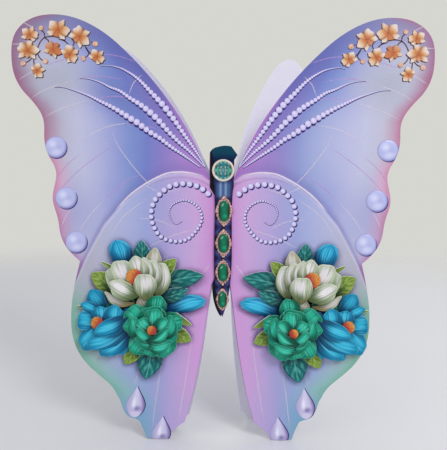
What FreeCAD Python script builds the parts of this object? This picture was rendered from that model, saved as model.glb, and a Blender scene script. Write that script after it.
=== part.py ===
import FreeCAD, Part
import math
import os
from FreeCAD import Vector

# A stand-up butterfly made of cut card. A printed butterfly sheet faces the
# viewer, +X to its right and +Z up. A plain sheet of the same outline is taped
# behind its body and folds back on both sides, so that four wing tips stand on
# the table. Cut-out layers are raised in front of it on foam pads, towards -Y.

# Overall size, in millimetres
wing_span = 200.0
card_height = 199.2
half_span = wing_span / 2

# Card, tape and foam
card = 0.4
cutter_tolerance = 0.1
tape = 0.2
wing_pad_height = 1.0
spray_pad_height = 1.2
petal_pad_height = 0.9
wing_pad_side = 8.0
spray_pad_side = 7.0
flower_pad_side = 6.0

# Rear sheet
tab_half_width = 2.0
fold_radius = 3.0
left_sweep = 30.0
right_sweep = 58.0
tape_half_width = 1.8
tape_margin = 2.0

# Raised lower wing layers
layer_reveal = 0.4
layer_half_gap = 2.6

# Raised body layer
body_shift = 0.9
body_clearance = 0.6
head_half_width = 5.8
medallion_radius = 5.2
medallion_shift = 0.2
thorax_half_width = 4.8
waist_half_width = 4.0
abdomen_half_width = 3.1
body_pad_width = 4.0
body_pad_length = 8.0
body_pad_count = 4

# Flower sprays
spray_across = 41.4
spray_shift = 1.2
right_spray_drop = 0.9
blue_lift = 0.6
magnolia_lift = 1.3
green_lift = 2.5
magnolia_radius = 14.2
magnolia_front_radius = 10.6
blue_radius = 14.0
blue_front_radius = 9.8
green_radius = 13.8
green_middle_radius = 9.8
green_heart_radius = 6.2

# Outline stretches of one wing pair, as shares of the half span and the height
NECK = (0.060, 0.617)
HEAD_SIDE = (0.058, 0.676)
HEAD = [HEAD_SIDE, (0.040, 0.687), (0.0, 0.690)]
UPPER_WING = [
    NECK, (0.168, 0.732), (0.288, 0.820), (0.434, 0.902), (0.545, 0.951), (0.665, 0.986),
    (0.792, 1.0), (0.925, 0.985), (0.967, 0.967), (0.994, 0.940), (1.0, 0.908), (0.995, 0.875),
    (0.960, 0.830), (0.892, 0.790), (0.846, 0.752), (0.840, 0.706), (0.821, 0.668),
    (0.784, 0.630), (0.790, 0.592), (0.798, 0.571), (0.771, 0.514), (0.757, 0.476),
    (0.708, 0.436), (0.665, 0.416),
]
LOWER_WING = [
    (0.665, 0.416), (0.693, 0.347), (0.703, 0.291), (0.691, 0.232), (0.658, 0.194),
    (0.587, 0.156), (0.509, 0.122), (0.479, 0.099),
]
DROP_BULGE = [(0.479, 0.099), (0.455, 0.072), (0.428, 0.051), (0.400, 0.046), (0.375, 0.041)]
TIP_OUTER = [(0.375, 0.041), (0.358, 0.024), (0.340, 0.0)]
TIP_INNER = [(0.243, 0.0), (0.224, 0.014), (0.196, 0.027), (0.163, 0.038)]
INNER_EDGE = [(0.163, 0.038), (0.133, 0.090), (0.093, 0.185), (0.064, 0.284)]
CROTCH = (0.040, 0.367)
ABDOMEN_TIP = [CROTCH, (0.038, 0.341), (0.026, 0.314), (0.0, 0.288)]
TAB_LOW = 0.367
TAB_HIGH = 0.603

# Upper edge of the raised lower wing layer, from the body to the outer notch
LAYER_TOP = [
    (0.125, 0.612), (0.219, 0.616), (0.337, 0.597), (0.432, 0.568), (0.526, 0.525),
    (0.590, 0.478), (0.640, 0.425), (0.661, 0.402),
]
LAYER_TOP_INNER = 0.586
LAYER_MIDDLE = (0.38, 0.32)
LAYER_STEP = 0.386

# Where foam pads sit under each lower wing layer and each spray
WING_PADS = [(0.16, 0.56), (0.45, 0.52), (0.60, 0.36), (0.55, 0.20), (0.14, 0.24), (0.29, 0.06)]
SPRAY_PADS = [(-2.0, 15.0), (14.0, -8.0), (-9.0, -10.0), (-20.0, 5.0)]

# Heights of the body, as shares of the card height
BODY_TOP = 0.690
MEDALLION_UP = 0.6335
THORAX_UP = 0.604
WAIST_UP = 0.497
ABDOMEN_UP = 0.350
BODY_TIP = 0.289
BODY_PADS_LOW = 0.365
BODY_PADS_HIGH = 0.645
SPRAY_UP = 0.317

# Outline of the raised head: share of its half width, and millimetres below its top
HEAD_TOP_LEFT = (-1.0, 2.0)
HEAD_CROWN = [(-0.45, 0.2), (0.60, 0.1)]
HEAD_TOP_RIGHT = (1.1, 4.0)
COLLAR_RIGHT = 0.7
COLLAR_LEFT = -0.8
COLLAR_UP = 0.7
THROAT = 0.7

# Spray drawn for the right wing: across is outwards, up is up, in millimetres
MAGNOLIA = (-1.6, 12.2)
MAGNOLIA_HEART = (0.5, 13.4)
BLUE = (13.0, -8.3)
BLUE_HEART = (14.2, -8.3)
GREEN = (-9.4, -9.4)
LEAVES = [
    ((-12.0, 6.5), (-33.0, 13.9), 9.0),
    ((-11.0, 6.0), (-25.5, 2.3), 7.5),
    ((-9.5, 12.0), (-18.1, 20.9), 6.0),
    ((-12.0, -0.8), (-34.8, 1.4), 9.6),
    ((-15.0, -5.0), (-27.4, -8.8), 4.5),
    ((-15.0, -6.5), (-26.5, -17.2), 7.0),
    ((-8.4, -16.0), (-5.6, -34.8), 12.0),
    ((-1.5, -14.0), (3.7, -28.3), 7.2),
    ((8.0, 6.0), (20.4, 13.5), 8.0),
    ((5.0, 14.0), (8.4, 31.1), 9.4),
    ((-1.8, 17.0), (-3.7, 30.2), 7.6),
    ((6.0, 15.0), (15.3, 20.0), 2.2),
    ((16.0, -4.5), (26.6, -0.9), 2.2),
]

# Edge of a leaf: reach along it, and share of its half width there
LEAF_EDGE = [(0.16, 0.62), (0.36, 0.97), (0.58, 0.94), (0.80, 0.56)]

SPRAY_CORES = [(MAGNOLIA, 11.0), (BLUE, 10.5), (GREEN, 10.8), ((0.5, -1.5), 9.0)]
CORE_TURNS = [math.radians(45 * corner) for corner in range(9)]

# Flank and shoulder of each petal's round end, as shares of its angle and its length
PETAL_FLANK = 0.37
PETAL_SHOULDER = 0.96

# Petal rings: length of each petal and reach of the notch between two, both as shares
# of the ring's radius, then the bearing of the first petal in degrees
MAGNOLIA_BACK_RING = ([0.98, 1.0, 0.95, 1.0, 0.97, 1.0, 0.93], 0.74, 80)
MAGNOLIA_FRONT_RING = ([0.96, 1.0, 0.95, 1.0, 0.98], 0.66, 90)
BLUE_BACK_RING = ([0.95, 1.0, 0.93, 1.0, 0.92, 0.97], 0.66, 95)
BLUE_FRONT_RING = ([1.0, 0.92, 0.97, 1.0, 0.94], 0.60, 20)
GREEN_BACK_RING = ([0.97, 1.0, 0.95, 1.0, 0.98], 0.78, 27)
GREEN_MIDDLE_RING = ([1.0, 0.95, 0.98, 1.0, 0.94], 0.78, 63)
GREEN_HEART_RING = ([1.0, 0.93, 1.0, 0.96], 0.78, 60)

# Levels in front of the printed sheet's face
wing_layer_level = wing_pad_height
wing_layer_face = wing_layer_level + card
body_level = wing_layer_face + body_clearance
spray_level = wing_layer_face + spray_pad_height
spray_face = spray_level + card


def place(point, side=1):
    """Point of the card from its shares of half span and height."""
    return Vector(side * point[0] * half_span, 0, point[1] * card_height)


def line(start, end):
    return Part.LineSegment(start, end).toShape()


def spline(points):
    """Smooth run of arcs along a curve through the points, as a card cutter follows it."""
    curve = Part.BSplineCurve()
    curve.interpolate(points)
    return [arc.toShape() for arc in curve.toBiArcs(cutter_tolerance)]


def cut_card(edges, level):
    """Card cut along the edges, its back face at the level in front of the sheet."""
    wire = Part.Wire(Part.__sortEdges__(edges))
    solid = Part.Face(wire).extrude(Vector(0, -card, 0))
    solid.translate(Vector(0, -level, 0))
    return solid


def flat_cut(corners, level):
    """Card cut by straight snips from corner to corner."""
    return cut_card(Part.makePolygon(corners).Edges, level)


def stretch(shares, side):
    return spline([place(point, side) for point in shares])


def lower_edges(side):
    """Outline of one lower wing, from the outer notch round to the inner edge."""
    edges = []
    for shares in (LOWER_WING, DROP_BULGE, TIP_OUTER, TIP_INNER):
        edges += stretch(shares, side)
    edges.append(line(place(TIP_OUTER[-1], side), place(TIP_INNER[0], side)))
    return edges


def front_sheet():
    """Printed butterfly with its head and the free tip of its abdomen."""
    edges = []
    for side in (1, -1):
        edges += stretch(UPPER_WING, side) + lower_edges(side)
        edges += stretch(INNER_EDGE + [CROTCH], side)
        edges += stretch(ABDOMEN_TIP, side)
        edges += stretch(HEAD, side)
        edges.append(line(place(HEAD_SIDE, side), place(NECK, side)))
    return cut_card(edges, -card)


def rear_wing(side, sweep):
    """One plain wing, its fold and its half of the glued tab."""
    turn = math.radians(sweep)
    root = tab_half_width + fold_radius * turn
    low = Vector(side * root, 0, TAB_LOW * card_height)
    high = Vector(side * root, 0, TAB_HIGH * card_height)
    leading = [high] + [place(point, side) for point in UPPER_WING[1:]]
    inner = [place(point, side) for point in INNER_EDGE] + [low]
    edges = spline(leading) + lower_edges(side) + spline(inner) + [line(low, high)]
    wing = cut_card(edges, -card)
    wing.translate(Vector(side * (tab_half_width - root), 0, 0))
    hinge = Vector(side * tab_half_width, fold_radius + card, 0)
    wing.rotate(hinge, Vector(0, 0, 1), side * sweep)
    tab_height = (TAB_HIGH - TAB_LOW) * card_height
    fold_corner = Vector(side * tab_half_width, 0, TAB_LOW * card_height)
    profile = Part.makePolygon([
        fold_corner,
        fold_corner + Vector(0, card, 0),
        fold_corner + Vector(0, card, tab_height),
        fold_corner + Vector(0, 0, tab_height),
        fold_corner,
    ])
    fold = Part.Face(profile).revolve(hinge, Vector(0, 0, 1), side * sweep)
    tab_corner = Vector(min(0, fold_corner.x), 0, fold_corner.z)
    tab = Part.makeBox(tab_half_width, card, tab_height, tab_corner)
    return wing.fuse([fold, tab])


def rear_sheet():
    """Plain folded sheet behind the printed one."""
    sheet = rear_wing(-1, left_sweep).fuse(rear_wing(1, right_sweep)).removeSplitter()
    sheet.translate(Vector(0, card + tape, 0))
    return sheet.Solids[0]


def spine_tape():
    """Double-sided tape between the two sheets."""
    low = TAB_LOW * card_height + tape_margin
    high = TAB_HIGH * card_height - tape_margin
    return Part.makeBox(2 * tape_half_width, tape, high - low, Vector(-tape_half_width, card, low))


def wing_layer(side):
    """Raised second layer of one lower wing, cut a little inside the printed edge."""
    middle = place(LAYER_MIDDLE, side)

    def inset(share):
        point = place(share, side)
        return point + (middle - point).normalize() * layer_reveal

    top_inner = Vector(side * layer_half_gap, 0, LAYER_TOP_INNER * card_height)
    step = Vector(side * layer_half_gap, 0, LAYER_STEP * card_height)
    top = [top_inner] + [inset(share) for share in LAYER_TOP]
    lower = [top[-1]] + [inset(share) for share in LOWER_WING[1:]]
    stretches = [DROP_BULGE, TIP_OUTER, TIP_INNER, INNER_EDGE + [CROTCH]]
    edges = spline(top) + spline(lower)
    for shares in stretches:
        edges += spline([inset(share) for share in shares])
    edges.append(line(inset(TIP_OUTER[-1]), inset(TIP_INNER[0])))
    edges += [line(inset(CROTCH), step), line(step, top_inner)]
    return cut_card(edges, wing_layer_level)


def square_pad(x, z, side_length, back, height):
    corner = Vector(x - side_length / 2, -back - height, z - side_length / 2)
    return Part.makeBox(side_length, height, side_length, corner)


def wing_layer_pads(side):
    pads = []
    for point in WING_PADS:
        spot = place(point, side)
        pads.append(square_pad(spot.x, spot.z, wing_pad_side, 0, wing_pad_height))
    return Part.Compound(pads)


def body_layer():
    """Head, round medallion and tapering abdomen cut as one raised piece."""
    top = BODY_TOP * card_height
    thorax = THORAX_UP * card_height
    medallion = Vector(-medallion_shift, 0, MEDALLION_UP * card_height)
    collar = medallion.z + medallion_radius * COLLAR_UP

    def head_point(share, down):
        return Vector(share * head_half_width, 0, top - down)

    crown = [head_point(share, down) for share, down in [HEAD_TOP_LEFT] + HEAD_CROWN]
    cheek = head_point(*HEAD_TOP_RIGHT)
    collar_right = head_point(COLLAR_RIGHT, top - collar)
    collar_left = head_point(COLLAR_LEFT, top - collar)
    sides_of_head = [line(crown[-1], cheek), line(cheek, collar_right)]
    sides_of_head += [line(collar_right, collar_left), line(collar_left, crown[0])]
    head = cut_card(spline(crown) + sides_of_head, body_level)
    centre = medallion - Vector(0, body_level, 0)
    disc = Part.makeCylinder(medallion_radius, card, centre, Vector(0, -1, 0))
    tip = Vector(0, 0, BODY_TIP * card_height)
    sides = []
    for side in (1, -1):
        sides += spline([
            Vector(side * thorax_half_width, 0, thorax),
            Vector(side * waist_half_width, 0, WAIST_UP * card_height),
            Vector(side * abdomen_half_width, 0, ABDOMEN_UP * card_height),
            tip,
        ])
    shoulder = [Vector(side * thorax_half_width, 0, thorax) for side in (1, -1)]
    throat = [Vector(side * thorax_half_width * THROAT, 0, medallion.z) for side in (1, -1)]
    collar_edges = [line(shoulder[0], throat[0]), line(throat[0], throat[1]), line(throat[1], shoulder[1])]
    abdomen = cut_card(sides + collar_edges, body_level)
    layer = abdomen.fuse([disc, head]).removeSplitter().Solids[0]
    layer.translate(Vector(body_shift, 0, 0))
    return layer


def body_pads():
    low = BODY_PADS_LOW * card_height
    pitch = (BODY_PADS_HIGH - BODY_PADS_LOW) * card_height / (body_pad_count - 1)
    pads = []
    for i in range(body_pad_count):
        corner = Vector(-body_pad_width / 2, -body_level, low + i * pitch - body_pad_length / 2)
        pads.append(Part.makeBox(body_pad_width, body_level, body_pad_length, corner))
    return Part.Compound(pads)


def spray_point(point, side):
    """Point of one spray, which is drawn for the right wing and mirrored for the left."""
    drop = right_spray_drop if side > 0 else 0
    x = side * (spray_across + point[0]) + spray_shift
    return Vector(x, 0, SPRAY_UP * card_height - drop + point[1])


def leaf(base, tip, width, side):
    """Pointed leaf or bud, cut by straight snips along both edges."""
    start = spray_point(base, side)
    length = spray_point(tip, side) - start
    along = Vector(length).normalize()
    across = Vector(-along.z, 0, along.x) * (width / 2)
    near_edge = [start + length * reach + across * share for reach, share in LEAF_EDGE]
    far_edge = [start + length * reach - across * share for reach, share in LEAF_EDGE]
    corners = [start] + near_edge + [start + length] + far_edge[::-1] + [start]
    return flat_cut(corners, spray_level)


def spray_base(side):
    """Leaves and buds cut as one piece, with a core behind each flower."""
    cores = []
    for centre, radius in SPRAY_CORES:
        middle = spray_point(centre, side)
        corners = [middle + Vector(math.cos(turn), 0, math.sin(turn)) * radius for turn in CORE_TURNS]
        cores.append(flat_cut(corners, spray_level))
    leaves = [leaf(base, tip, width, side) for base, tip, width in LEAVES]
    return cores[0].fuse(cores[1:] + leaves).removeSplitter().Solids[0]


def spray_pads(side):
    pads = []
    for point in SPRAY_PADS:
        spot = spray_point(point, side)
        pads.append(square_pad(spot.x, spot.z, spray_pad_side, wing_layer_face, spray_pad_height))
    return Part.Compound(pads)


def petal_ring(centre, radius, ring, lift, side):
    """Ring of rounded petals cut from one piece."""
    petals, notch, first = ring
    middle = spray_point(centre, side)
    step = 360.0 / len(petals)

    def spot(angle, reach):
        bearing = math.radians(angle)
        return middle + Vector(side * math.cos(bearing), 0, math.sin(bearing)) * (radius * reach)

    edges = []
    for i, length in enumerate(petals):
        bearing = first + i * step
        start = spot(bearing - step * PETAL_FLANK, length * PETAL_SHOULDER)
        end = spot(bearing + step * PETAL_FLANK, length * PETAL_SHOULDER)
        edges.append(line(spot(bearing - step / 2, notch), start))
        edges.append(Part.Arc(start, spot(bearing, length), end).toShape())
        edges.append(line(end, spot(bearing + step / 2, notch)))
    return cut_card(edges, spray_face + lift)


def next_lift(lift):
    """Lift of the layer that stands one petal pad in front of another."""
    return lift + card + petal_pad_height


def magnolia_back(side):
    return petal_ring(MAGNOLIA, magnolia_radius, MAGNOLIA_BACK_RING, magnolia_lift, side)


def magnolia_front(side):
    lift = next_lift(magnolia_lift)
    return petal_ring(MAGNOLIA_HEART, magnolia_front_radius, MAGNOLIA_FRONT_RING, lift, side)


def blue_flower_back(side):
    return petal_ring(BLUE, blue_radius, BLUE_BACK_RING, blue_lift, side)


def blue_flower_front(side):
    return petal_ring(BLUE_HEART, blue_front_radius, BLUE_FRONT_RING, next_lift(blue_lift), side)


def green_flower_back(side):
    return petal_ring(GREEN, green_radius, GREEN_BACK_RING, green_lift, side)


def green_flower_middle(side):
    return petal_ring(GREEN, green_middle_radius, GREEN_MIDDLE_RING, next_lift(green_lift), side)


def green_flower_heart(side):
    lift = next_lift(next_lift(green_lift))
    return petal_ring(GREEN, green_heart_radius, GREEN_HEART_RING, lift, side)


def flower_pads(side):
    """Foam pads under and between the petal layers of the three flowers."""
    stacks = [(MAGNOLIA, magnolia_lift, 1), (BLUE, blue_lift, 1), (GREEN, green_lift, 2)]
    pads = []
    for centre, lift, upper_pads in stacks:
        spot = spray_point(centre, side)
        heights = [(0, lift)]
        for _ in range(upper_pads):
            back = heights[-1][1] + card
            heights.append((back, back + petal_pad_height))
        for back, front in heights:
            pads.append(square_pad(spot.x, spot.z, flower_pad_side, spray_face + back, front - back))
    return Part.Compound(pads)


PAIRED = [
    wing_layer,
    wing_layer_pads,
    spray_base,
    spray_pads,
    magnolia_back,
    magnolia_front,
    blue_flower_back,
    blue_flower_front,
    green_flower_back,
    green_flower_middle,
    green_flower_heart,
    flower_pads,
]
SINGLE = [front_sheet, rear_sheet, spine_tape, body_layer, body_pads]

pieces = {maker.__name__: maker() for maker in SINGLE}
for maker in PAIRED:
    pieces[maker.__name__ + "_left"] = maker(-1)
    pieces[maker.__name__ + "_right"] = maker(1)

# The origin is the centre of the footprint box, at table level
box = Part.Compound(list(pieces.values())).optimalBoundingBox(False, False)
to_origin = Vector(-box.Center.x, -box.Center.y, -box.ZMin)

os.makedirs("parts", exist_ok=True)
for name, shape in pieces.items():
    shape.translate(to_origin)
    shape.exportStep("parts/" + name + ".step")
    print(name, len(shape.Solids), "solids", round(shape.Volume, 2), "mm3", shape.isValid())
print("moved by", to_origin, "size", box.XLength, box.YLength, box.ZLength)
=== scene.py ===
import math

import bmesh
import bpy
from mathutils import Matrix, Vector
from mathutils.bvhtree import BVHTree


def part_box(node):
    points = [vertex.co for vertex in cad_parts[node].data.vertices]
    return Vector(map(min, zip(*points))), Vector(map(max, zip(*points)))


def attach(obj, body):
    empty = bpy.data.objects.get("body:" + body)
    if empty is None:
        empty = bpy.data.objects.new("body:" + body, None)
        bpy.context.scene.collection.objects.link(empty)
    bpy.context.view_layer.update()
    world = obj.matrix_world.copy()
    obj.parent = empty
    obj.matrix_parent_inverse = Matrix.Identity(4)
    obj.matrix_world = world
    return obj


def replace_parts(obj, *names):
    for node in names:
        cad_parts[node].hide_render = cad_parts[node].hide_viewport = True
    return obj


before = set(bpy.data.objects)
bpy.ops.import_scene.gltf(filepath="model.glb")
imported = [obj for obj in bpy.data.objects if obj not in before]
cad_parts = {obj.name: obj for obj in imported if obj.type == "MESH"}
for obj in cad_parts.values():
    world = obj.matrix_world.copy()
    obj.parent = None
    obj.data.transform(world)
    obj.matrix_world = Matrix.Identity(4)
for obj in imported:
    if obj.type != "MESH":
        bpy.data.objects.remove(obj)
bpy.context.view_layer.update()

# Lengths are written in millimetres and points as (across, up): across is outwards from
# the card's axis, up is above the table, and lift is in front of the printed face.
MM = 0.001
SIDES = {"left": -1, "right": 1}
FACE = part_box("front_sheet")[0].y
HALF_SPAN = 100
HEIGHT = 200


def lift_of(node):
    """How far a node's front stands in front of the printed face, in millimetres."""
    return (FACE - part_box(node)[0].y) / MM


LAYER_LIFT = lift_of("wing_layer_left")
BODY_LIFT = lift_of("body_layer")
LEAF_LIFT = lift_of("spray_base_left")
PRINT_LIFT = 0.03
SHADE_LIFT = 0.06
STEM_LIFT = 0.07
PEARL_LIFT = 0.08
SPRAY_ACROSS = 41.4
SPRAY_SHIFT = 1.2
SPRAY_UP = 63.15
RIGHT_SPRAY_DROP = 0.9
BODY_SHIFT = 0.9
RIGHT_PRINT_SHIFT = 1.7
CARD = 0.4
LEAF_CARD = 0.35
PETAL_CARD = 0.3

# The camera's place and turn in metres and radians, the photo's width and the horizon's place
# in pixels, the strength of the light, and the size of the table in metres
VIEW_ACROSS = 0.00094
VIEW_DISTANCE = 0.211
VIEW_HEIGHT = 0.11
ROLL = 0.0105
VIEW_WIDTH = 447
HORIZON_ABOVE_MIDDLE = 20
ROOM_LIGHT = 0.74
KEY_LIGHT = 4.9
TABLE_RADIUS = 1.6


# Finishes

def shade(red, green, blue):
    """Linear colour from the red, green and blue of a swatch."""
    def linear(part):
        part = part / 255
        return part / 12.92 if part <= 0.04045 else ((part + 0.055) / 1.055) ** 2.4
    return (linear(red), linear(green), linear(blue), 1.0)


def arithmetic(operation, swapped=False):
    """Method of a value that adds one Math node with another term."""
    def method(value, other):
        return value.math(operation, other, swapped=swapped)
    return method


class Value:
    """A number that varies over a surface, with Python's arithmetic."""

    def __init__(self, finish, socket):
        self.finish = finish
        self.socket = socket

    def math(self, operation, *others, swapped=False):
        terms = [self, *others]
        if swapped:
            terms.reverse()
        made = self.finish.node("Math", {"operation": operation}, dict(enumerate(terms)))
        return Value(self.finish, made.outputs[0])

    __add__ = arithmetic("ADD")
    __radd__ = arithmetic("ADD", swapped=True)
    __sub__ = arithmetic("SUBTRACT")
    __rsub__ = arithmetic("SUBTRACT", swapped=True)
    __mul__ = arithmetic("MULTIPLY")
    __rmul__ = arithmetic("MULTIPLY", swapped=True)
    __truediv__ = arithmetic("DIVIDE")
    __rtruediv__ = arithmetic("DIVIDE", swapped=True)
    least = arithmetic("MINIMUM")
    most = arithmetic("MAXIMUM")

    def __abs__(self):
        return self.math("ABSOLUTE")

    def wave(self):
        return self.math("SINE")

    def rising(self, low, high):
        """0 below low, 1 above high, and smooth in between."""
        made = self.finish.node(
            "MapRange", {"interpolation_type": "SMOOTHSTEP"},
            {"Value": self, "From Min": low, "From Max": high, "To Min": 0.0, "To Max": 1.0},
        )
        return Value(self.finish, made.outputs["Result"])

    def falling(self, low, high):
        return 1 - self.rising(low, high)


class Finish:
    """One procedural material."""

    def __init__(self, name, roughness=0.5, gloss=0.35, metal=0.0, coat=0.0):
        self.material = bpy.data.materials.new(name)
        self.material.use_nodes = True
        self.tree = self.material.node_tree
        self.shader = self.tree.nodes["Principled BSDF"]
        self.set("Roughness", roughness)
        self.set("Specular IOR Level", gloss)
        self.set("Metallic", metal)
        self.set("Coat Weight", coat)

    def set(self, socket, value):
        self.feed(self.shader.inputs[socket], value)
        return self

    def feed(self, socket, value):
        """Links a value to a socket or writes it there, a swatch as a linear colour."""
        if isinstance(value, Value):
            value = value.socket
        if isinstance(value, bpy.types.NodeSocket):
            self.tree.links.new(value, socket)
        else:
            socket.default_value = shade(*value) if socket.type == "RGBA" else value

    def node(self, kind, settings=None, sockets=None):
        """A node of one kind, with its settings made first and then its sockets fed."""
        made = self.tree.nodes.new("ShaderNode" + kind)
        for name, setting in (settings or {}).items():
            if name == "points":
                curve = made.mapping.curves[0]
                for spot in setting[1:-1]:
                    curve.points.new(*spot)
                curve.points[0].location = setting[0]
                curve.points[-1].location = setting[-1]
                for point in curve.points:
                    point.handle_type = "VECTOR"
                made.mapping.update()
            elif name == "stops":
                ramp = made.color_ramp.elements
                for place, *swatch in setting[1:-1]:
                    ramp.new(place).color = shade(*swatch)
                for end in (0, -1):
                    place, *swatch = setting[end]
                    ramp[end].position = place
                    ramp[end].color = shade(*swatch)
            else:
                setattr(made, name, setting)
        for name, value in (sockets or {}).items():
            self.feed(made.inputs[name], value)
        return made

    def blend(self, under, over, share):
        """One colour over another."""
        made = self.node("Mix", {"data_type": "RGBA"}, {0: share, 6: under, 7: over})
        return made.outputs[2]

    def printed(self, colour, *coats):
        """A colour with coats of print over it, each a colour and its share."""
        for coat, share in coats:
            colour = self.blend(colour, coat, share)
        return colour

    def parts(self, vector):
        made = self.node("SeparateXYZ", None, {0: vector})
        return [Value(self, made.outputs[axis]) for axis in range(3)]

    def vector(self, across, up, depth=0.0):
        return self.node("CombineXYZ", None, {0: across, 1: up, 2: depth}).outputs[0]

    def length(self, vector):
        made = self.node("VectorMath", {"operation": "LENGTH"}, {0: vector})
        return Value(self, made.outputs["Value"])

    def spot(self):
        """The place on the object, in metres."""
        return self.node("TexCoord").outputs["Object"]

    def place(self):
        """Millimetres outwards from the card's axis, up, and along the real X axis."""
        x, _, z = self.parts(self.spot())
        return abs(x) / MM, z / MM, x / MM

    def facing(self):
        """How far a surface faces the viewer: 1 for a printed face, -1 for a back."""
        normal = self.node("NewGeometry").outputs["Normal"]
        return 0 - self.parts(normal)[1]

    def own_map(self):
        """The piece's own map: across from -1 to 1, along from 0 to 1 or, if it is round, from -1."""
        spot = self.node("UVMap", {"uv_map": "print"}).outputs[0]
        across, along, _ = self.parts(spot)
        return across, along

    def own_disc(self):
        """The own map of a round piece, as two numbers, a place and the distance from its middle."""
        across, along = self.own_map()
        place = self.vector(across, along)
        return across, along, place, self.length(place)

    def tone(self):
        """Number that differs from petal to petal and from leaf to leaf."""
        made = self.node("Attribute", {"attribute_name": "tone"})
        return Value(self, made.outputs["Fac"])

    def speckle(self, vector, size, detail=2.0):
        made = self.node("TexNoise", None, {"Vector": vector, "Scale": size, "Detail": detail})
        return Value(self, made.outputs[0])

    def object_speckle(self, size, detail=2.0):
        return self.speckle(self.spot(), size, detail)

    def cells(self, vector, size, feature="F1"):
        return self.node("TexVoronoi", {"feature": feature}, {"Vector": vector, "Scale": size})

    def ramp(self, stops, value):
        """Colours in a row along a value, each given with its place."""
        return self.node("ValToRGB", {"stops": stops}, {0: value}).outputs[0]

    def curve(self, points, value):
        made = self.node("FloatCurve", {"points": points}, {"Value": value})
        return Value(self, made.outputs[0])

    def wash(self, place, centre, reach, turn=0.0):
        """Soft oval patch of print: 1 in its middle and 0 past its reach."""
        made = self.node("Mapping", {"vector_type": "TEXTURE"}, {
            "Vector": place,
            "Location": (*centre, 0.0),
            "Rotation": (0.0, 0.0, math.radians(turn)),
            "Scale": (*reach, 1.0),
        })
        return self.length(made.outputs[0]).falling(0.0, 1.0)

    def dressed(self, colour, relief, strength, depth=0.1):
        """The finish with its colour, and with a relief whose depth is in millimetres."""
        made = self.node("Bump", None, {"Height": relief, "Strength": strength, "Distance": depth * MM})
        self.set("Normal", made.outputs[0])
        return self.set("Base Color", colour)

    def grained(self, colour, amount, size=2600.0):
        """The finish with paper grain: a fine speckle in the colour and in the surface."""
        fine = self.object_speckle(size)
        darker = self.node("VectorMath", {"operation": "SCALE"}, {0: colour, "Scale": 1 - amount * 2})
        toned = self.blend(darker.outputs[0], colour, fine.rising(0.2, 0.6))
        return self.dressed(toned, fine, 0.06, 0.05)


# Outer and inner edge of the printed wings: share of the height, and share of the half span.
# Top edge and top of the lower wing: share of the half span, and share of the height.
OUTER_EDGE = [
    (0.0, 0.34), (0.024, 0.358), (0.041, 0.385), (0.051, 0.43), (0.072, 0.455), (0.099, 0.479),
    (0.122, 0.509), (0.156, 0.587), (0.194, 0.658), (0.232, 0.691), (0.291, 0.703), (0.347, 0.693),
    (0.405, 0.668), (0.434, 0.708), (0.474, 0.757), (0.512, 0.771), (0.569, 0.798), (0.59, 0.79),
    (0.627, 0.784), (0.665, 0.821), (0.703, 0.84), (0.749, 0.846), (0.787, 0.892), (0.827, 0.96),
    (0.872, 0.995), (0.904, 1.0), (0.936, 0.994), (0.963, 0.967), (0.981, 0.925), (1.0, 0.8),
]
INNER_EDGE = [
    (0.0, 0.24), (0.038, 0.163), (0.09, 0.133), (0.184, 0.093), (0.283, 0.064), (0.365, 0.04),
    (0.39, 0.026), (0.58, 0.026), (1.0, 0.026),
]
TOP_EDGE = [
    (0.0, 0.56), (0.06, 0.615), (0.168, 0.729), (0.288, 0.817), (0.434, 0.898), (0.545, 0.947),
    (0.665, 0.982), (0.792, 0.996), (0.925, 0.981), (1.0, 0.94),
]
LOWER_WING_TOP = [
    (0.0, 0.6), (0.065, 0.6085), (0.103, 0.62), (0.198, 0.627), (0.292, 0.617), (0.432, 0.5715),
    (0.549, 0.5), (0.642, 0.412), (0.7, 0.34), (1.0, 0.0),
]

# Colours of the print in a row from the body outwards: share of the half span and swatch
UPPER_ROW = [
    (0.07, 186, 124, 202), (0.18, 164, 130, 200), (0.27, 138, 124, 194), (0.36, 114, 126, 195),
    (0.43, 126, 144, 202), (0.5, 150, 158, 210), (0.58, 174, 177, 216), (0.66, 189, 190, 218),
    (0.76, 190, 188, 208), (0.9, 182, 178, 196),
]
LOWER_ROW = [
    (0.03, 197, 138, 201), (0.075, 200, 152, 209), (0.12, 199, 163, 213), (0.2, 184, 163, 213),
    (0.27, 167, 160, 210), (0.35, 155, 164, 212), (0.43, 168, 175, 216), (0.51, 177, 181, 214),
    (0.58, 180, 179, 200), (0.66, 174, 174, 190),
]

# Colours of the upper wing's blue top, along its width, and of its pink rim, along its height
BLUE_TOP = [
    (0.18, 120, 100, 174), (0.3, 90, 98, 170), (0.5, 94, 102, 170), (0.75, 126, 124, 170),
    (0.9, 134, 122, 158),
]
PINK_RIM = [
    (0.38, 168, 140, 190), (0.5, 190, 148, 184), (0.6, 214, 166, 196), (0.72, 190, 136, 166),
    (0.86, 162, 116, 148), (0.98, 150, 122, 160),
]

# Edge of the body printed on the front sheet: share of the height, and share of the half span.
# Edge of the raised body: share of the height, and share of its half width.
PRINTED_BODY_EDGE = [
    (0.0, 0.045), (0.36, 0.045), (0.375, 0.032), (0.57, 0.032), (0.59, 0.058), (1.0, 0.06),
]
BODY_HALF_WIDTH = 5
BAND_MIDDLES = [99.6, 85.1, 71.6]
RAISED_BODY_EDGE = [(0.0, 0.5), (0.3, 0.55), (0.48, 0.78), (0.6, 0.95), (1.0, 1.0)]


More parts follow.
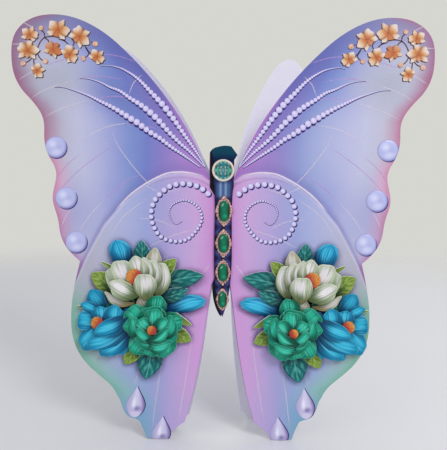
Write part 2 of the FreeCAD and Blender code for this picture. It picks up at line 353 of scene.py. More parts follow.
def wing_print():
    """Bands of colour, edge tints and printed body on the two wing layers, with painted light on the
    right wing, painted shade on the left wing and a painted shadow above the top of the lower wing.
    """
    finish = Finish("printed_card", roughness=0.5, gloss=0.2)
    across, up, x = finish.place()
    place = finish.vector(across, up)
    whole = finish.vector(x, up)
    drift = finish.speckle(place, 0.06, 3.0) - 0.5
    width, height = across / HALF_SPAN, up / HEIGHT

    outer = (finish.curve(OUTER_EDGE, height) - width) * HALF_SPAN + drift * 4
    inner = (width - finish.curve(INNER_EDGE, height)) * HALF_SPAN + drift * 4
    top = (finish.curve(TOP_EDGE, width) - height) * HEIGHT + drift * 4
    arc = (height - finish.curve(LOWER_WING_TOP, width)) * HEIGHT
    far = across.rising(50.0, 64.0)
    lean = (up - 146).most(0.0) * 0.45
    left_tip = up.rising(126.0, 146.0) * x.falling(-60.0, -20.0)
    shadow = arc.falling(0.0, 8.0) * arc.rising(-0.5, 2.0)
    upper = finish.printed(
        finish.ramp(UPPER_ROW, (across - lean + drift * 7) / HALF_SPAN),
        ((174, 177, 196), finish.wash(place, (78, 168), (26, 22))),
        ((165, 167, 209), finish.wash(place, (70, 106), (18, 26), -20) * 0.9),
        # Painted light: the right wing is lighter round its middle.
        ((204, 206, 228), finish.wash(whole, (48, 138), (26, 40), -25) * 0.38),
        # Painted shade: a darker patch high on the left wing.
        ((104, 114, 180), finish.wash(whole, (-50, 160), (26, 14), -35) * 0.6),
        (finish.ramp(BLUE_TOP, width), top.falling(-2.0, 20.0) * across.rising(10.0, 30.0) * 0.95),
        ((176, 110, 198), top.falling(-2.0, 5.0) * across.falling(14.0, 40.0) * 0.7),
        (finish.ramp(PINK_RIM, height), outer.falling(-1.0, 10.0) * far),
        ((168, 76, 118), outer.falling(-1.5, 3.5) * far * 0.45),
        # Greyer towards the outer edge at the top of the left wing only.
        ((116, 100, 122), outer.falling(0.0, 16.0) * left_tip * 0.3),
        # Painted shadow in a band just above the top of the lower wing.
        ((110, 104, 172), shadow * 0.4),
    )
    low_pink = up.rising(14.0, 46.0) * up.falling(50.0, 90.0)
    low_green = up.falling(56.0, 78.0) * up.rising(12.0, 24.0)
    lower = finish.printed(
        finish.ramp(LOWER_ROW, (across + drift * 5) / HALF_SPAN),
        ((148, 168, 208), finish.wash(place, (44, 24), (26, 26)) * 0.8),
        ((122, 166, 200), finish.wash(place, (38, 10), (14, 18)) * 0.95),
        ((206, 156, 214), inner.falling(0.0, 14.0) * low_pink),
        ((136, 188, 174), outer.falling(-2.0, 18.0) * low_green * 0.95),
        ((112, 168, 144), outer.falling(-2.0, 6.0) * low_green * 0.7),
        ((120, 164, 186), outer.falling(-2.0, 8.0) * up.falling(14.0, 30.0) * 0.7),
        ((150, 178, 160), outer.falling(-1.0, 3.5) * up.rising(56.0, 76.0) * 0.5),
        ((216, 206, 232), arc.rising(-3.0, -0.4) * 0.35),
    )
    body = (width - finish.curve(PRINTED_BODY_EDGE, height)) * HALF_SPAN
    wings = finish.printed(
        lower,
        (upper, arc.rising(-0.2, 0.2)),
        ((14, 12, 26), body.falling(-0.4, 0.1)),
    )
    return card_face(finish, wings, (236, 234, 242))


def card_face(finish, print_colour, plain):
    """Print on the face, white paper on the cut edges and plain card behind."""
    facing = finish.facing()
    colour = finish.printed(
        plain, ((240, 239, 243), facing.rising(-0.6, -0.5)), (print_colour, facing.rising(0.5, 0.6))
    )
    return finish.grained(colour, 0.035)


def body_print():
    """Head, thorax and banded abdomen of the raised body."""
    finish = Finish("navy_printed_card", roughness=0.5, gloss=0.12)
    _, up, x = finish.place()
    side = abs(x - BODY_SHIFT)
    round_edge = side / finish.curve(RAISED_BODY_EDGE, up / HEIGHT) / BODY_HALF_WIDTH
    navy = finish.blend((46, 46, 100), (18, 12, 48), round_edge.rising(0.25, 0.95))
    flank = finish.vector(side, up)
    for middle in BAND_MIDDLES:
        off = abs(up - middle)
        seam = abs(side - off * 0.72)
        navy = finish.printed(
            navy,
            ((62, 74, 138), finish.wash(flank, (2.1, middle - 2.4), (2.2, 2.9), 35)),
            ((62, 74, 138), finish.wash(flank, (2.1, middle + 2.4), (2.2, 2.9), -35)),
            ((12, 8, 34), seam.falling(0.25, 0.7) * off.falling(4.5, 6.0)),
        )
    steel = finish.printed(
        (70, 92, 140),
        ((22, 22, 60), round_edge.rising(0.45, 0.95)),
        ((126, 156, 192), abs(x + 0.5).falling(0.1, 0.9) * 0.8),
        ((126, 156, 192), abs(x - 1.9).falling(0.1, 0.9) * 0.8),
        ((30, 34, 84), up.rising(119.0, 122.0)),
    )
    head = finish.blend((0, 24, 66), (0, 62, 84), up.rising(131.0, 135.0))
    colour = finish.printed(navy, (steel, up.rising(112.5, 115.0)), (head, up.rising(126.0, 129.5)))
    return card_face(finish, colour, (232, 230, 238))


def plain_card(name, front, back):
    """Plain dyed card with a fibrous surface."""
    finish = Finish(name, roughness=0.6, gloss=0.3)
    cloud = finish.object_speckle(45.0, 3.0)
    return finish.grained(finish.blend(front, back, cloud.rising(0.35, 0.7) * 0.5), 0.03, 2200.0)


def foam():
    """White foam with fine cells."""
    finish = Finish("foam_pad", roughness=0.85, gloss=0.2)
    depth = Value(finish, finish.cells(finish.spot(), 2400.0).outputs["Distance"])
    colour = finish.blend((222, 222, 216), (244, 244, 240), depth.rising(0.1, 0.5))
    return finish.dressed(colour, depth, 0.4)


def tape():
    """Pale double-sided tape."""
    finish = Finish("clear_tape", roughness=0.3, gloss=0.5)
    ribs = finish.object_speckle(700.0)
    colour = finish.blend((226, 222, 206), (238, 236, 226), ribs.rising(0.4, 0.6))
    return finish.dressed(colour, ribs, 0.1)


def pearl_print():
    """Round pearl lit from its upper left, with a dark lower right edge."""
    finish = Finish("pearl_print", roughness=0.3, gloss=0.4, coat=0.12)
    across, along, place, far = finish.own_disc()
    lean = across * 0.6 - along * 0.75
    colour = finish.printed(
        (178, 182, 226),
        ((206, 208, 240), finish.wash(place, (0.05, -0.45), (0.75, 0.5), 10) * 0.9),
        ((168, 170, 216), finish.wash(place, (0.25, 0.05), (0.6, 0.35), -20) * 0.5),
        ((208, 211, 242), finish.wash(place, (-0.28, 0.3), (0.62, 0.58))),
        ((104, 104, 168), far.rising(0.72, 1.02) * lean.rising(-0.3, 0.8) * 0.85),
        ((150, 152, 206), far.rising(0.82, 1.0) * 0.5),
    )
    return finish.dressed(colour, finish.object_speckle(1800.0), 0.03)


def bead_print():
    """Small flat bead, pale lilac with a slightly darker edge."""
    finish = Finish("bead_print", roughness=0.4, gloss=0.25)
    _, _, place, far = finish.own_disc()
    colour = finish.printed(
        (208, 202, 236),
        ((184, 174, 220), far.rising(0.45, 1.0)),
        ((226, 222, 246), finish.wash(place, (-0.25, 0.25), (0.6, 0.6)) * 0.7),
    )
    return finish.dressed(colour, finish.object_speckle(1800.0), 0.03)


def drop_print():
    """Pear-shaped pearl with a dark band across it."""
    finish = Finish("drop_print", roughness=0.3, gloss=0.3, coat=0.1)
    across, along = finish.own_map()
    place = finish.vector(across, along)
    colour = finish.printed(
        (204, 202, 230),
        ((182, 172, 214), abs(across).rising(0.1, 0.9)),
        ((124, 106, 168), finish.wash(place, (0.15, -0.42), (0.75, 0.3)) * 0.9),
        ((232, 232, 248), finish.wash(place, (-0.2, -0.05), (0.35, 0.6))),
        ((212, 202, 230), finish.wash(place, (0.0, -0.85), (0.8, 0.35)) * 0.8),
        ((118, 100, 156), (across - along * 0.1).rising(0.55, 0.95) * 0.8),
    )
    return finish.dressed(colour, finish.object_speckle(1800.0), 0.03)


def soft_line(name, swatch, strength):
    """Thin printed line that fades at its edges and its ends."""
    finish = Finish(name, roughness=0.45)
    across, along = finish.own_map()
    ends = along.rising(0.0, 0.2) * along.falling(0.75, 1.0)
    lighter = [min(255, part + 14) for part in swatch]
    finish.set("Base Color", finish.blend(swatch, lighter, finish.object_speckle(900.0)))
    return finish.set("Alpha", abs(across).falling(0.1, 1.0) * ends * strength)


def soft_shadow():
    """Dark printed shade that fades outwards round a flower or a leaf."""
    finish = Finish("shade_print", roughness=0.6, gloss=0.1)
    far = finish.own_disc()[-1]
    finish.set("Base Color", finish.blend((40, 42, 98), (54, 54, 114), finish.object_speckle(900.0)))
    return finish.set("Alpha", far.falling(0.45, 1.0) * 0.36)


def flat_print(name, swatch, lighter):
    """Print of one even colour."""
    finish = Finish(name, roughness=0.5, gloss=0.15)
    grain = finish.object_speckle(1400.0)
    return finish.set("Base Color", finish.blend(swatch, lighter, grain.rising(0.3, 0.7)))


def petal_print(name, base, main, light, rim, warm=None):
    """Petal with a dark root, fine streaks and a lighter tip."""
    finish = Finish(name, roughness=0.4, gloss=0.22)
    across, along = finish.own_map()
    tone = finish.tone()
    border = finish.length(finish.vector(across, along * 2 - 1))
    streaks = finish.speckle(finish.vector(across * 6.5 + tone * 17, along * 0.9, tone * 7), 1.0, 3.0)
    colour = finish.blend(base, main, (along + streaks * 0.35).rising(0.25, 0.9))
    if warm:
        cloud = finish.speckle(finish.vector(across * 1.2 + tone * 9, along * 1.6, tone * 3), 1.3, 2.0)
        colour = finish.blend(colour, warm, (tone + cloud * 0.5 - along * 0.3).rising(0.62, 1.0) * 0.7)
    glow = finish.wash(finish.vector(across, along), (0.12, 0.66), (0.8, 0.42))
    glow = (glow * 1.15 * (streaks * 1.7).rising(0.35, 0.95) + glow * 0.3).least(1.0)
    sheen = streaks.rising(0.52, 0.66) * along.rising(0.15, 0.45) * along.falling(0.75, 1.0)
    side = abs(across + tone * 0.7 - 0.3).rising(0.45, 1.2) * along.falling(0.4, 1.0)
    colour = finish.printed(
        colour,
        (light, glow * (1.15 - tone * 0.55).least(1.0)),
        (rim, sheen * 0.6),
        (base, (streaks.falling(0.32, 0.46) * 0.3 + side * 0.75).least(0.9)),
        (rim, border.rising(0.93, 1.0) * along.rising(0.4, 0.75) * 0.4),
    )
    return finish.dressed(colour, streaks, 0.16, 0.12)


def leaf_print(name, base, main, light, edge):
    """Leaf with a midrib, slanting side ribs and a dark root."""
    finish = Finish(name, roughness=0.4, gloss=0.22)
    across, along = finish.own_map()
    tone = finish.tone()
    mottle = finish.speckle(finish.vector(across * 2.2 + tone * 11, along * 3.0, tone * 5), 1.6, 3.0)
    slant = along * 4.6 - abs(across) * 1.4 + mottle * 0.6
    waves = (slant * math.tau).wave()
    ribs = waves.rising(-1.0, 1.0) * mottle.rising(0.36, 0.62) * along.rising(0.0, 0.5)
    colour = finish.printed(
        base,
        (main, (along + mottle * 0.6).rising(0.35, 1.0)),
        (light, ribs * 0.44),
        (base, waves.falling(-1.0, -0.75) * 0.18 + along.falling(0.15, 0.7) * 0.7),
        (light, abs(across).falling(0.02, 0.08) * along.rising(0.1, 0.6) * 0.5),
        (edge, abs(across).rising(0.72, 1.0) * 0.6),
    )
    return finish.dressed(colour, waves * 0.5 + mottle, 0.3, 0.2)


def stamens():
    """Packed orange stamens."""
    finish = Finish("stamen_print", roughness=0.6, gloss=0.2)
    depth = Value(finish, finish.cells(finish.spot(), 2000.0).outputs["Distance"])
    across, along, _, far = finish.own_disc()
    lean = (across * (1 - finish.tone() * 2) - along * 0.4).rising(-0.7, 0.4)
    colour = finish.printed(
        (230, 156, 70),
        ((186, 62, 60), lean),
        ((192, 176, 96), far.rising(0.7, 1.0) * (1 - lean) * 0.6),
        ((158, 70, 40), depth.rising(0.3, 0.65) * 0.6),
    )
    return finish.dressed(colour, 1 - depth, 0.6, 0.3)


def orchid_print():
    """Small printed orchids: an orange throat, streaks and pale petal ends."""
    finish = Finish("orchid_print", roughness=0.5, gloss=0.2)
    across, along = finish.own_map()
    tone = finish.tone()
    streaks = finish.speckle(finish.vector(across * 4 + tone * 13, along * 1.4, tone * 5), 1.4, 3.0)
    tips = (along + streaks * 0.6 - abs(across) * 0.15).rising(0.66, 1.1)
    colour = finish.printed(
        (170, 82, 40),
        ((216, 168, 114), (along + streaks * 0.7).rising(0.3, 0.95)),
        ((190, 106, 60), streaks.rising(0.5, 0.6) * 0.75),
        ((220, 208, 202), tips * (1.4 - tone * 1.3).least(0.95).most(0.15)),
        ((188, 98, 56), tone.rising(0.62, 0.85) * 0.75),
        ((120, 78, 76), abs(across + 0.2).rising(0.6, 1.1) * 0.55),
    )
    return finish.dressed(colour, streaks, 0.2)


def rose_gold():
    """Pitted filigree, dark at its inner and outer edge."""
    finish = Finish("rose_gold_print", roughness=0.45, gloss=0.3, metal=0.1)
    pits = finish.object_speckle(1700.0, 3.0)
    far = finish.own_disc()[-1]
    colour = finish.printed(
        (120, 70, 72),
        ((204, 162, 150), pits.rising(0.38, 0.52)),
        ((238, 210, 196), pits.rising(0.56, 0.68)),
        ((52, 26, 46), far.rising(0.9, 1.0).most(far.falling(0.62, 0.7)) * 0.85),
    )
    return finish.dressed(colour, pits, 0.5, 0.2)


def emerald():
    """Green stone with a light upper left corner and a glow below."""
    finish = Finish("emerald_print", roughness=0.2, gloss=0.2, coat=0.08)
    across, along = finish.own_map()
    place = finish.vector(across, along)
    colour = finish.printed(
        (0, 104, 74),
        ((0, 44, 36), abs(across).rising(0.35, 1.0)),
        ((20, 160, 112), finish.wash(place, (0.15, -0.45), (0.6, 0.35)) * 0.8),
        ((20, 128, 92), finish.wash(place, (0.0, 0.15), (0.5, 0.5)) * 0.6),
        ((150, 196, 176), finish.wash(place, (-0.25, 0.6), (0.4, 0.16), 30) * 0.8),
    )
    return finish.dressed(colour, finish.object_speckle(500.0), 0.05)


def medallion_print():
    """Mirrored facets of teal, green and cream inside a cream rim."""
    finish = Finish("medallion_print", roughness=0.3, gloss=0.5, coat=0.2)
    across, along, _, far = finish.own_disc()
    across, along = abs(across), abs(along)
    mirrored = finish.vector(across * 1.3 + 0.35, along * 1.15 + 0.2)
    pick = finish.parts(finish.cells(mirrored, 4.6).outputs["Color"])[0]
    seam = Value(finish, finish.cells(mirrored, 4.6, "DISTANCE_TO_EDGE").outputs["Distance"])
    colour = finish.printed(
        finish.ramp([
            (0.0, 0, 62, 84), (0.24, 14, 124, 134), (0.4, 16, 134, 96), (0.54, 224, 230, 216),
            (0.68, 40, 150, 118), (0.84, 120, 196, 206), (1.0, 96, 70, 78),
        ], pick),
        ((8, 52, 62), seam.falling(0.02, 0.08) * 0.75),
        ((24, 50, 70), abs(across - along * 0.9 - 0.05).falling(0.0, 0.07) * 0.7),
        ((214, 204, 186), far.rising(0.8, 0.84)),
    )
    return finish.dressed(colour, seam, 0.3)


# Making pieces

def at(side, across, up, lift):
    """Point on one side of the card, in metres."""
    return Vector((side * across * MM, FACE - lift * MM, up * MM))


def spray_at(side, out, rise, lift):
    """Point of a flower spray, which is drawn for the right wing and mirrored for the left."""
    drop = RIGHT_SPRAY_DROP if side > 0 else 0
    x = side * (SPRAY_ACROSS + out) + SPRAY_SHIFT
    return at(1, x, SPRAY_UP - drop + rise, lift)


def card_surface():
    """The front sheet's own surface, to keep print inside its cut edge."""
    sheet = bmesh.new()
    sheet.from_mesh(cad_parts["front_sheet"].data)
    surface = BVHTree.FromBMesh(sheet)
    sheet.free()
    return surface


SURFACE = card_surface()
EDGE_MARGIN = 0.1 * MM

# Cells across and along in the grid of each kind of piece
PETAL_CELLS = (14, 16)
LEAF_CELLS = (10, 18)
SHADE_CELLS = (10, 10)
ORCHID_CELLS = (6, 6)
SETTING_CELLS = (26, 34)
STONE_CELLS = (14, 20)
MEDALLION_CELLS = (36, 36)


def kept_on_card(point):
    """The point, moved inwards if it lies past the cut edge of the wing."""
    side = 1 if point.x > 0 else -1
    start = Vector((side * 0.2, FACE + CARD / 2 * MM, point.z))
    hit = SURFACE.ray_cast(start, Vector((-side, 0, 0)))[0]
    if hit and abs(point.x) > abs(hit.x) - EDGE_MARGIN:
        return Vector((side * (abs(hit.x) - EDGE_MARGIN), point.y, point.z))
    return point


def new_bench():
    """An empty bmesh with the own map and the tone of each petal or leaf."""
    bench = bmesh.new()
    bench.loops.layers.uv.new("print")
    bench.verts.layers.float.new("tone")
    return bench


def dress(bench, verts, marks, slot, tone):
    """Writes the map, the finish slot and the tone of newly made faces, and turns them to the viewer."""
    layer = bench.loops.layers.uv["print"]
    tones = bench.verts.layers.float["tone"]
    faces = list({face for vert in verts for face in vert.link_faces})
    for vert in verts:
        vert[tones] = tone
    for face in faces:
        face.smooth = True
        face.material_index = slot
        for loop in face.loops:
            loop[layer].uv = marks[loop.vert]
        face.normal_update()
    if sum(face.normal.y * face.calc_area() for face in faces) > 0:
        bmesh.ops.reverse_faces(bench, faces=faces)


def lay(bench, cells, place, slot=0, tone=0.0):
    """Grid of cells laid where place says, from its share across and its share along."""
    made = bmesh.ops.create_grid(bench, x_segments=cells[0], y_segments=cells[1], size=1)["verts"]
    marks = {}
    for vert in made:
        vert.co, marks[vert] = place(vert.co.x, (vert.co.y + 1) / 2)
    dress(bench, made, marks, slot, tone)


def lay_round(bench, cells, place, slot=0, tone=0.0):
    """Grid pressed into a disc and laid where place says, from -1 to 1 across and along."""
    def pressed(s, t):
        q = 2 * t - 1
        a, b = s * math.sqrt(1 - q * q / 2), q * math.sqrt(1 - s * s / 2)
        return place(a, b)

    lay(bench, cells, pressed, slot, tone)


def finished(name, bench, *finishes):
    """The bench's shape as a piece that moves with the card."""
    bmesh.ops.remove_doubles(bench, verts=bench.verts, dist=0.5e-6)
    mesh = bpy.data.meshes.new(name)
    bench.to_mesh(mesh)
    bench.free()
    piece = bpy.data.objects.new(name, mesh)
    bpy.context.scene.collection.objects.link(piece)
    for finish in finishes:
        mesh.materials.append(finish.material)
    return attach(piece, "root")


def card_sheet(piece, thickness, rim=1):
    """Gives a printed sheet its thickness, with white paper on its cut edge and its back."""
    solid = piece.modifiers.new("card", "SOLIDIFY")
    solid.thickness = thickness * MM
    solid.offset = -1
    solid.material_offset = 1
    solid.material_offset_rim = rim
    return piece


def smooth_run(points, steps=8):
    """Even curve through given points."""
    ends = [points[0], *points, points[-1]]
    run = []
    for corners in zip(ends, ends[1:], ends[2:], ends[3:]):
        for step in range(steps):
            t = step / steps
            spot = []
            for a, b, c, d in zip(*corners):
                bend = 2 * a - 5 * b + 4 * c - d + t * (3 * (b - c) + d - a)
                spot.append(b + 0.5 * t * (c - a + t * bend))
            run.append(Vector(spot))
    run.append(Vector(points[-1]))
    return run


def printed_line(bench, side, points, width, lift, slot=0, taper=0.5):
    """Line laid on the card, widest in its middle."""
    run = smooth_run(points)
    cells = len(run) - 1

    def place(s, t):
        index = round(t * cells)
        heading = run[min(index + 1, cells)] - run[max(index - 1, 0)]
        heading.normalize()
        share = 1 - taper + taper * math.sin(math.pi * t)
        spot = run[index] + Vector((-heading.y, heading.x)) * s * width / 2 * share
        return kept_on_card(at(side, spot.x, spot.y, lift)), (s, t)

    lay(bench, (1, cells), place, slot)


def disc(bench, centre, radius, dome, slot=0, segments=14, tone=0.0):
    """Low round dome that faces the viewer."""
    turn = Matrix.Translation(centre) @ Matrix.Rotation(math.pi / 2, 4, "X")
    made = bmesh.ops.create_circle(
        bench, cap_ends=True, cap_tris=True, segments=segments, radius=radius * MM, matrix=turn
    )["verts"]
    marks = {}
    for vert in made:
        spot = (vert.co - centre) / (radius * MM)
        marks[vert] = (spot.x, spot.z)
        if spot.length < 0.5:
            vert.co.y -= dome * MM
        vert.co = kept_on_card(vert.co)
    dress(bench, made, marks, slot, tone)


def low_pearl(bench, centre, radius, dome, slot=0, tone=0.0):
    """Round pearl or tuft of stamens: the front half of a ball, in low relief."""
    made = bmesh.ops.create_uvsphere(bench, u_segments=40, v_segments=20, radius=radius * MM)["verts"]
    edges = {edge for vert in made for edge in vert.link_edges}
    faces = {face for vert in made for face in vert.link_faces}
    cut = bmesh.ops.bisect_plane(
        bench, geom=[*made, *edges, *faces], dist=1e-7,
        plane_co=(0, 0, 0), plane_no=(0, 1, 0), clear_outer=True,
    )["geom"]
    rest = [part for part in cut if isinstance(part, bmesh.types.BMVert) and part.is_valid]
    marks = {}
    for vert in rest:
        marks[vert] = (vert.co.x / (radius * MM), vert.co.z / (radius * MM))
        vert.co.y *= dome / radius
        vert.co = kept_on_card(vert.co + centre)
    dress(bench, rest, marks, slot, tone)


# Bead strings on the upper wings: path from the wing's middle to the root
STRINGS = [
    [(57.6, 174.8), (54.3, 175.3), (48.6, 174.2), (43.8, 171.8), (40.5, 169.5), (37.7, 167.0),
     (34.3, 163.4), (30.7, 159.7), (28.1, 156.9), (23.3, 150.8), (18.1, 143.3), (11.8, 134.4),
     (8.0, 128.3)],
    [(67.4, 169.2), (62.7, 168.8), (58.0, 167.4), (53.2, 165.1), (48.5, 163.3), (43.7, 160.0),
     (38.5, 156.8), (34.0, 153.3), (29.4, 148.9), (24.7, 143.7), (19.9, 139.0), (15.1, 134.9),
     (8.0, 127.8)],
    [(79.2, 164.9), (74.5, 164.7), (67.4, 162.6), (62.6, 160.8), (57.9, 158.5), (53.1, 156.2),
     (48.9, 153.9), (43.6, 150.6), (40.8, 149.0), (34.1, 144.1), (29.4, 141.3), (24.6, 137.6),
     (17.5, 132.9), (10.3, 127.8)],
]
SPIRAL = [
    (6.4, 115.3), (9.0, 117.4), (12.1, 119.0), (15.3, 119.7), (18.6, 119.9), (21.9, 119.4),
    (25.2, 118.2), (27.5, 116.3), (29.8, 114.1), (31.7, 111.5), (32.6, 108.7), (33.0, 105.9),
    (32.8, 103.1), (32.0, 100.3), (30.8, 97.9), (29.2, 95.6), (26.8, 94.0), (24.0, 93.1),
    (21.2, 92.7), (18.8, 92.9), (16.5, 93.6), (14.6, 94.8), (12.8, 96.7), (10.9, 99.1),
    (9.5, 101.9), (9.3, 104.7), (10.1, 107.5), (12.0, 109.9), (14.8, 111.5), (17.6, 112.1),
    (20.4, 111.4), (23.2, 109.7), (24.6, 106.9), (24.1, 104.1), (22.7, 101.8), (20.8, 100.9),
    (18.4, 102.3),
]
ROOT_LINE_WIDTH = 1.5
LARGEST_BEAD = 1.62
STRING_TIP_BEAD = 0.1
STRING_ROOT_BEAD = 0.26
STRING_PEAK = 0.52
BIG_PEARLS = [(78.4, 136.4), (73.3, 112.5), (68.3, 91.8)]
BIG_PEARL_RADIUS = 5.1
BIG_PEARL_DOME = 0.5
PEARL_SHADOW_FALL = Vector((0.35, 0.04, -0.35)) * MM

# Drops: middle, half width and half height; shadow and drop: slot, shift aside, lift and dome
DROPS = [((39.7, 17.4), 4.5, 7.3), ((27.6, 4.2), 4.4, 6.7)]
DROP_LEAN = 0.6
DROP_LAYERS = [(1, 0.45, 0.05, 0.0), (0, 0.0, 0.1, 0.45)]
DROP_FOOT = 0.15


def along_run(run):
    """Length reached at each point of a run."""
    reach = [0.0]
    for start, end in zip(run, run[1:]):
        reach.append(reach[-1] + (end - start).length)
    return reach


def string_of_beads(bench, side, points, lift, size, gap, shift):
    """Beads along a path, each over a shadow that is moved by a share of the bead's radius.

    Size gives the radius at a share of the path, and gap the step as a share of touching beads.
    """
    run = smooth_run(points)
    reach = along_run(run)
    total = reach[-1]
    travelled = 0.0
    index = 0
    while travelled < total:
        while reach[index + 1] < travelled and index < len(run) - 2:
            index += 1
        share = (travelled - reach[index]) / max(reach[index + 1] - reach[index], 1e-9)
        spot = run[index].lerp(run[index + 1], min(share, 1.0))
        radius = size(travelled / total)
        centre = at(side, spot.x, spot.y, lift)
        fall = Vector((shift[0] * radius, -0.04, shift[1] * radius - 0.08))
        disc(bench, centre + fall * MM, radius * 1.06 + 0.1, dome=0.0, slot=1, segments=12)
        disc(bench, centre + Vector((0, -0.08 * MM, 0)), radius, dome=radius * 0.14, segments=12)
        ahead = size(min(1.0, (travelled + radius) / total))
        travelled += (radius + ahead) * gap


def string_bead(share):
    """Radius of a bead of the straight strings, largest near their middle."""
    if share < STRING_PEAK:
        smallest, growth = STRING_TIP_BEAD, (share / STRING_PEAK) ** 1.3
    else:
        smallest, growth = STRING_ROOT_BEAD, ((1 - share) / (1 - STRING_PEAK)) ** 0.9
    return smallest + (LARGEST_BEAD - smallest) * growth


def spiral_bead(share):
    """Radius of a bead of the spirals, smaller and smaller towards their middle."""
    return 1.36 - 1.2 * share ** 1.6


# Flower sprays: out is outwards and rise is up from the middle of the spray. Petals:
# root, tip, width, sideways bow, extra lift at the root, tone
NECK = 0.5
SHADE_FALL = Vector((-0.2, -0.7))
MAGNOLIA_BACK = [
    ((-7.6, 9.0), (-9.9, 26.4), 8.4, 0.0, 0.0, 0.85),
    ((-10.2, 3.2), (-12.9, 20.4), 6.6, 2.4, 0.2, 0.55),
    ((-0.6, 1.0), (12.9, 6.0), 4.2, -2.4, 0.1, 0.8),
    ((-8.0, -2.0), (-3.6, 4.4), 10.0, 0.0, 0.0, 0.95),
    ((-0.8, 3.6), (11.7, 17.2), 7.2, -2.4, 0.3, 0.5),
]
MAGNOLIA_FRONT = [
    ((-6.6, 5.0), (-8.4, 21.8), 7.6, 2.4, 0.0, 0.6),
    ((-5.2, 7.5), (-5.4, 22.4), 7.4, 1.6, 0.25, 0.3),
    ((-0.4, 7.0), (7.4, 20.8), 12.4, -1.0, 0.2, 0.35),
    ((-4.0, 9.0), (-0.6, 22.8), 10.0, 0.4, 0.45, 0.1),
]
MAGNOLIA_CUP = [
    ((-2.6, 4.6), (9.8, 11.0), 9.2, -0.8, 0.6, 0.15),
    ((-6.0, 2.8), (-5.2, 15.4), 10.8, 0.4, 1.0, 0.5),
]
BLUE_BACK = [
    ((13.8, -3.4), (19.6, 6.9), 9.4, 0.0, 0.0, 0.9),
    ((14.6, -4.2), (23.8, 0.9), 5.6, 0.0, 0.35, 0.3),
    ((15.4, -7.8), (25.8, -7.2), 10.8, 0.0, 0.2, 0.5),
    ((13.4, -9.0), (23.8, -19.6), 10.6, 0.0, 0.3, 0.4),
    ((7.4, -9.2), (13.8, -23.8), 8.4, 0.0, 0.2, 0.6),
    ((4.0, -8.0), (4.8, -22.6), 7.2, 0.0, 0.0, 0.9),
    ((8.4, -6.0), (1.6, -8.6), 13.0, 0.0, 0.0, 0.95),
]
BLUE_FRONT = [
    ((14.3, -7.6), (15.5, -0.4), 8.6, 0.0, 0.2, 0.1),
    ((8.9, -10.8), (8.2, 0.4), 9.8, -0.6, 0.3, 0.2),
    ((1.6, -11.6), (13.6, -21.8), 8.4, -1.2, 0.0, 0.6),
    ((1.6, -8.4), (21.0, -18.0), 8.8, -2.2, 0.5, 0.4),
]
BLUE_CUP = [
    ((2.2, -5.0), (16.6, -12.0), 9.0, -1.2, 0.7, 0.15),
]
GREEN_BACK = [
    ((-9.7, -6.0), (-11.4, 5.0), 10.2, 0.0, 0.0, 0.7),
    ((-6.9, -9.2), (2.6, -1.4), 12.0, 0.0, 0.1, 0.5),
    ((-7.4, -10.0), (4.0, -8.6), 8.6, 0.0, 0.25, 0.3),
    ((-11.5, -9.2), (-22.9, -6.2), 10.6, 0.0, 0.1, 0.35),
    ((-12.4, -10.6), (-20.4, -14.2), 10.4, 0.0, 0.0, 0.8),
    ((-7.8, -11.5), (-0.2, -21.4), 10.8, 0.0, 0.1, 0.75),
    ((-11.5, -12.4), (-16.8, -22.3), 12.6, 0.0, 0.0, 0.6),
    ((-9.7, -12.4), (-7.6, -22.6), 11.4, 0.0, 0.25, 0.45),
]
GREEN_MIDDLE = [
    ((-9.7, -9.2), (-8.6, 0.4), 13.0, 0.0, 0.0, 0.6),
    ((-7.4, -14.2), (-0.2, -4.6), 7.6, -2.4, 0.3, 0.25),
    ((-11.6, -14.4), (-18.2, -3.8), 7.6, 2.4, 0.3, 0.3),
    ((-14.2, -13.4), (-1.6, -14.6), 6.4, -2.6, 0.45, 0.7),
    ((-4.6, -14.8), (-18.4, -15.6), 6.4, 2.8, 0.65, 0.4),
]
GREEN_HEART = [
    ((-9.7, -10.6), (-10.4, -0.4), 9.6, 0.0, 0.0, 0.0),
    ((-8.7, -11.0), (-3.4, -5.2), 8.0, -0.6, 0.2, 0.4),
    ((-10.1, -11.0), (-15.8, -4.8), 8.0, 0.6, 0.2, 0.2),
]
GREEN_CUP = [
    ((-11.8, -14.6), (-2.4, -9.4), 4.8, -1.8, 0.0, 0.35),
    ((-6.6, -15.0), (-16.8, -8.8), 4.8, 1.9, 0.3, 0.2),
]

# Leaves and buds: root, tip, width, kind (0 teal leaf, 2 lime leaf, 4 blue bud), tone. A kind
# is the slot of its finish, and the slot after it is the cut edge.
BUD_KIND = 4
LEAVES = [
    ((-10.0, 8.0), (-32.4, 14.0), 9.6, 0, 0.3),
    ((-11.0, 3.0), (-25.2, 7.6), 7.0, 0, 0.7),
    ((-11.5, 12.0), (-19.4, 21.6), 6.8, 2, 0.2),
    ((-14.0, -3.6), (-34.2, 2.8), 8.0, 4, 0.4),
    ((-16.0, -2.0), (-27.2, -9.4), 3.4, 2, 0.6),
    ((-17.0, -10.5), (-26.8, -16.4), 7.2, 2, 0.9),
    ((-8.0, -16.0), (-5.6, -34.6), 12.0, 0, 0.1),
    ((-1.5, -17.0), (3.9, -27.8), 7.6, 2, 0.5),
    ((9.0, 6.0), (20.0, 14.6), 9.0, 2, 0.8),
    ((5.0, 17.0), (9.0, 30.6), 10.6, 4, 0.7),
    ((-2.6, 17.0), (-3.2, 30.2), 8.0, 0, 0.9),
    ((7.0, 16.0), (15.6, 20.2), 2.0, 2, 0.3),
    ((17.0, -3.5), (26.6, -0.8), 2.0, 2, 0.7),
]


def spine_of(root, tip):
    """Root, run to the tip and direction beside it, of a petal or a leaf."""
    root = Vector(root)
    run = Vector(tip) - root
    return root, run, Vector((-run.y, run.x)).normalized()


